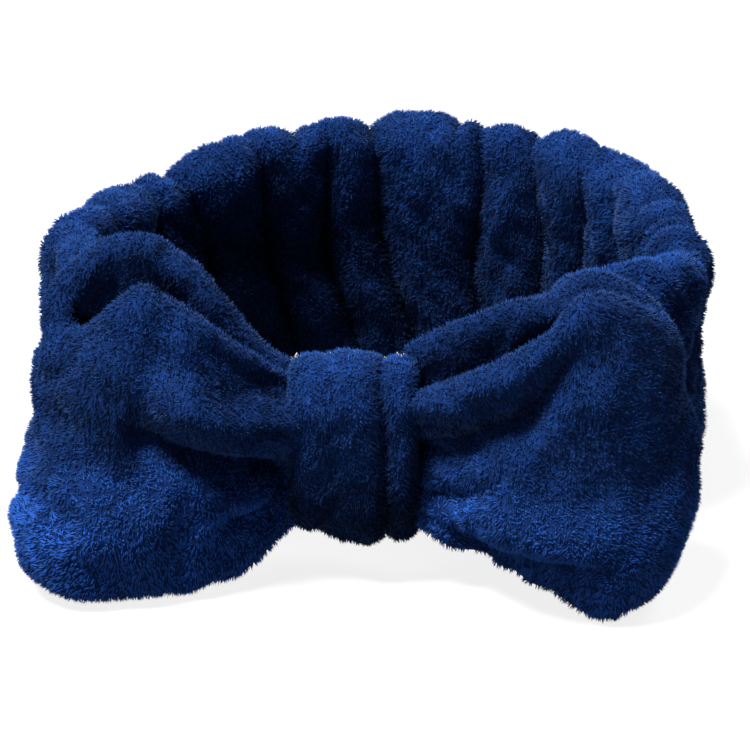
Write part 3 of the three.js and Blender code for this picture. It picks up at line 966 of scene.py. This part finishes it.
def plant_pile(piece, density, comb, length, lean, seed, painted_light_low=0.0):
    """The pile of one cover, as one or more pieces named after it.

    The last value lightens tufts low down and darkens those higher up. It is painted light and shade,
    chosen for the bow, and says nothing about how the real cloth is dyed or worn.
    """
    rng = np.random.default_rng(seed)
    place, normal, fold = scatter(piece, density, rng)
    corners = tuft_points(place, normal, np.array(comb, float), length, lean, rng)
    # Random tone per tuft, plus painted light low on the piece and painted shade higher up.
    shade = rng.random(len(place)) + painted_light_low * (1 - smoothstep(place[:, 2], 20, 50) * 1.35)
    made = []
    for number, start in enumerate(range(0, len(place), TUFTS_PER_PIECE), 1):
        part = corners[start:start + TUFTS_PER_PIECE]
        first = np.arange(len(part))[:, None] * 4
        faces = np.concatenate([first + corner for corner in ([0, 1, 3], [1, 2, 3], [2, 0, 3], [0, 2, 1])])
        points = part.reshape(-1, 3)
        if volume_of(points, [faces]) < 0:
            faces = faces[:, ::-1]
        tufts = new_piece(f"{piece.name}_pile_{number}", points, [faces], pile_material, "navy_plush")
        keep_value(tufts, "along", np.tile([0, 0, 0, 1.0], len(part)))
        keep_value(tufts, "shade", np.repeat(shade[start:start + TUFTS_PER_PIECE], 4))
        keep_value(tufts, "fold", np.repeat(fold[start:start + TUFTS_PER_PIECE], 4))
        made.append(tufts)
    print(piece.name, "has", len(place), "tufts in", len(made), "pieces")
    return made


pile = {
    "back_sleeve": plant_pile(back_sleeve, 2.0, (0, 0, -0.5), 1.65, 44, 61),
    "front_sleeve": plant_pile(front_sleeve, 1.9, (0, 0, -0.5), 1.65, 44, 62),
    "left": plant_pile(loop_covers["left"], 2.3, (-0.5, 0, -0.4), 1.65, 44, 63, 1.3),
    "right": plant_pile(loop_covers["right"], 2.3, (0.5, 0, -0.4), 1.65, 44, 64, 1.3),
    "knot": plant_pile(knot, 2.4, (0.1, 0, -0.6), 1.6, 44, 65),
}

# %% [markdown]
# ## Inside the covers
# These pieces are hidden, but they are what makes the headband work, so they are made too: the
# elastic with its lapped ends, the waist with the gathering cord round it, the wadding in the loops,
# and the threads of the seams. The threads that lie still with the band keep their solids' shape.

# %% Elastic and waist
ELASTIC_WIDTH = 25.0
ELASTIC_DRAWN_IN = 19.0
ELASTIC_HALF = 0.6
ELASTIC_LAP = 0.12


def elastic_sections(stations, around):
    """A thin strip round the ring, one end lying outside the other where they lap behind the knot.

    The knot's wrap squeezes it narrower there.
    """
    turn = np.linspace(np.pi - 2 * np.pi - ELASTIC_LAP, np.pi + ELASTIC_LAP, stations)
    line, out = ring_line(turn)
    lift, angle = flat_section(around, 0.46)[1:]
    from_end = np.minimum(turn - turn[0], turn[-1] - turn)
    step = 0.9 * (np.sign(turn) * (1 - smoothstep(from_end, 0.15, 0.35)))[:, None]
    across = ELASTIC_HALF * np.cos(angle) + step
    opened = openness(line)
    middle = blend_between((WAIST_LOW + PINCHED_HIGH) / 2, MIDDLE_HEIGHT, opened)
    width = blend_between(ELASTIC_DRAWN_IN, ELASTIC_WIDTH, opened)
    z = middle + lift * (width / 2 - ELASTIC_HALF) + ELASTIC_HALF * np.sin(angle)
    return line[:, None] + out[:, None] * across[..., None] + [0, 0, 1] * z[..., None]


elastic = tube("elastic_strip", elastic_sections(200, 40), elastic_material, "white_elastic")
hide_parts("elastic")

waist_low, waist_high = (np.array(corner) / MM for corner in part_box("bow_waist"))


def waist_sections(stations, around):
    """The drawn-in middle of the bow: pleats that run along X, and a groove for the cord at the middle."""
    x = np.linspace(waist_low[0], waist_high[0], stations)[:, None]
    angle = np.arange(around) / around * 2 * np.pi
    groove = 2.8 * (1 - smoothstep(np.abs(x), 4, 9))
    pleat = 0.5 * np.cos(9 * angle)
    reach_y = (waist_high[1] - waist_low[1]) / 2 - 0.6 - groove + pleat
    reach_z = (waist_high[2] - waist_low[2]) / 2 - 4.6 - groove + pleat
    y = (waist_low[1] + waist_high[1]) / 2 + reach_y * np.sign(np.cos(angle)) * np.abs(np.cos(angle)) ** 0.6
    z = MIDDLE_HEIGHT - 4 + reach_z * np.sign(np.sin(angle)) * np.abs(np.sin(angle)) ** 0.6
    return np.stack(np.broadcast_arrays(x, y, z), -1)


waist = tube("bow_waist_core", waist_sections(40, 96), cover_material, "navy_plush")
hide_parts("bow_waist")
print("elastic and waist made")

# %% [markdown]
# ## Wadding and threads
# The wadding follows the middle of each settled cover, so that it can't show through a crease.
# The long seams follow the middle of their tubes in the same way, and the closing stitches lie on
# the back of the wrap, at the height to which it droops.

# %% Wadding and moving threads
SEAM_THREAD = 0.45
CLOSING_THREAD = 0.5
SEAM_HEIGHT = 7.0
SEAM_END_GAP = 7
SEAM_POINTS = 60


def wadding_sections(cover):
    """A thin sheet on the middle of a loop's cover: the mean of the cover's two faces, drawn in at the
    top and bottom by a tenth of its height times the fourth power of the way there.
    """
    stations, around = cover.shape[:2]
    mirrored = cover[:, (around // 2 - np.arange(around)) % around]
    middle = (cover + mirrored) / 2
    centre = middle[..., 2].mean(axis=1, keepdims=True)
    thin = middle + 0.2 * (cover - middle)
    above = thin[..., 2] - centre
    way = above / np.abs(above).max(axis=1, keepdims=True)
    thin[..., 2] = centre + above * (1 - 0.1 * way**4)
    return thin[int(0.17 * stations):int(0.83 * stations)]


def seam_in(start, end):
    """The line of a sleeve's long seam: midway between its two walls, a little above its lowest point."""
    skin = sleeve_sections(np.linspace(start, end, 160), SEAM_POINTS)[0]
    height = skin[..., 2].min(axis=1) + SEAM_HEIGHT
    share = np.exp(-(((skin[..., 2] - height[:, None]) / 3) ** 2))
    across = (skin[..., :2] * share[..., None]).sum(axis=1) / share.sum(axis=1)[:, None]
    return np.concatenate([across, height[:, None]], axis=1)


def seam_round(length):
    """A side seam: the sleeve's section at a length round the ring, drawn in towards its middle line."""
    skin = sleeve_sections(np.array([length, length]), SEAM_POINTS)[0][0]
    mirrored = skin[(SEAM_POINTS // 2 - np.arange(SEAM_POINTS)) % SEAM_POINTS]
    middle = (skin + mirrored) / 2
    inset = middle + 0.55 * (skin - middle)
    centre = middle[:, 2].mean()
    inset[:, 2] = centre + 0.94 * (inset[:, 2] - centre)
    return inset


for name, shape in LOOPS.items():
    sheet = wadding_sections(loop_skins[name][::2, ::2])
    wadding = tube(f"{name}_loop_wadding_sheet", sheet, wadding_material, "white_wadding")
    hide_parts(f"{name}_loop_wadding")
    seam = loop_sections(shape, 120, 60)[0][16:104, 44:47].mean(axis=1) + [0, 0, 2.6]
    seam_piece = thread(f"{name}_loop_long_seam", seam, SEAM_THREAD, thread_material, "navy_thread")
    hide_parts(f"{name}_loop_seam_thread")
    pile[name] += [wadding, seam_piece]

back_line = seam_in(-SEAM_LENGTH + SEAM_END_GAP, SEAM_LENGTH - SEAM_END_GAP)
front_line = seam_in(SEAM_LENGTH + SEAM_END_GAP, RING_LENGTH - SEAM_LENGTH - SEAM_END_GAP)
back_seam = thread("back_sleeve_long_seam", back_line, SEAM_THREAD, thread_material, "navy_thread")
front_seam = thread("front_sleeve_long_seam", front_line, SEAM_THREAD, thread_material, "navy_thread")
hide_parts("back_sleeve_seam_thread")
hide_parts("front_sleeve_seam_thread")
side_seams = []
for name, length in (("right", SEAM_LENGTH), ("left", -SEAM_LENGTH)):
    side_seams.append(
        thread(f"{name}_side_seam_round", seam_round(length), SEAM_THREAD, thread_material, "navy_thread")
    )
    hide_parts(f"{name}_side_seam_thread")

closing_low, closing_high = (np.array(corner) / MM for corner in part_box("knot_closing_stitch"))
middle_of_wrap = skin.reshape(-1, 3)
middle_of_wrap = middle_of_wrap[np.abs(middle_of_wrap[:, 0]) < 3]
rise = np.linspace(closing_low[2] + 4, closing_high[2] - KNOT_DROOP - KNOT_SINK, 120)
depth = [middle_of_wrap[np.abs(middle_of_wrap[:, 2] - height) < 1.5][:, 1].max() for height in rise]
closing = np.stack([1.8 * np.sin(rise * 1.6), np.array(depth) - 0.2, rise], -1)
closing_stitch = thread("knot_closing_stitches", closing, CLOSING_THREAD, thread_material, "navy_thread")
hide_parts("knot_closing_stitch")

still_threads = ("elastic_join_stitch", "gather_cord")
for node in still_threads:
    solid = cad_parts[node]
    solid.data.materials.clear()
    solid.data.materials.append(thread_material)
print("threads made; kept solids:", ", ".join(still_threads))

# %% [markdown]
# ## What moves with what
# The front length, the knot and the waist stay with the band and are attached to it. The back length
# stretches away behind, and each loop is held at the knot; these are left unattached, with their
# placement written into their points.

# %% Bodies
still = [front_sleeve, knot, waist, closing_stitch, front_seam, *side_seams]
for piece in [*still, *pile["front_sleeve"], *pile["knot"]]:
    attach(piece, "band")
for piece in [back_sleeve, elastic, back_seam, *pile["back_sleeve"]]:
    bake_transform(piece)
for name, shape in LOOPS.items():
    for piece in [loop_covers[name], *pile[name]]:
        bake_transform(piece)
fills = [(back_sleeve, 0.15), (front_sleeve, 0.15), (knot, 0.4)]
fills += [(cover, 0.3) for cover in loop_covers.values()]

# %% [markdown]
# ## Floor and light
# A white floor, a soft light from above, a weak one in front, and one behind so that the back can be
# seen. The floor is not lit as a real one would be: it looks pale to the camera but sends little light
# back up, which keeps the hollows of the dark plush nearly black.


# %% Floor and lights
def stage_floor():
    """A pale floor, 8 m square, lit from within for the eye, so that shadows on it stay pale."""
    material, tree, shader = new_material("studio_floor", 0.9)[:3]
    seen = add(tree.nodes, "ShaderNodeLightPath").outputs["Is Camera Ray"]
    two_tone(tree, shader, seen, (0.12, 0.12, 0.13, 1), (0.26, 0.26, 0.26, 1))
    shader.inputs["Emission Color"].default_value = (1, 1, 1, 1)
    tree.links.new(math_node(tree, "MULTIPLY", seen, 0.84), shader.inputs["Emission Strength"])
    corners = np.array([[-4, -4, 0], [4, -4, 0], [4, 4, 0], [-4, 4, 0.0]]) / MM
    floor = new_piece("studio_floor", corners, [np.array([[0, 1, 2, 3]])], material, "navy_plush")
    del floor["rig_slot"]
    return floor


def sun(name, azimuth, elevation, strength, softness):
    """A far light from a direction in degrees, with its width in degrees."""
    light = bpy.data.objects.new(name, bpy.data.lights.new(name, "SUN"))
    light.data.energy = strength
    light.data.angle = math.radians(softness)
    bpy.context.scene.collection.objects.link(light)
    direction = from_angles(math.radians(azimuth), math.radians(elevation))
    aim(light, direction * 3, Vector((0, 0, 0)))
    return light


stage_floor()
key = sun("key_light", -52, 66, 7.6, 20)
front = sun("front_light", -14, 7, 0.6, 18)
back = sun("back_light", 150, 32, 1.6, 25)
world = bpy.data.worlds.new("studio")
world.use_nodes = True
world.node_tree.nodes["Background"].inputs["Color"].default_value = (1, 1, 1, 1)
world.node_tree.nodes["Background"].inputs["Strength"].default_value = 0.05
bpy.context.scene.world = world
bpy.context.scene.view_settings.view_transform = "Standard"
print("key", key.data.energy, "front", front.data.energy, "back", back.data.energy)
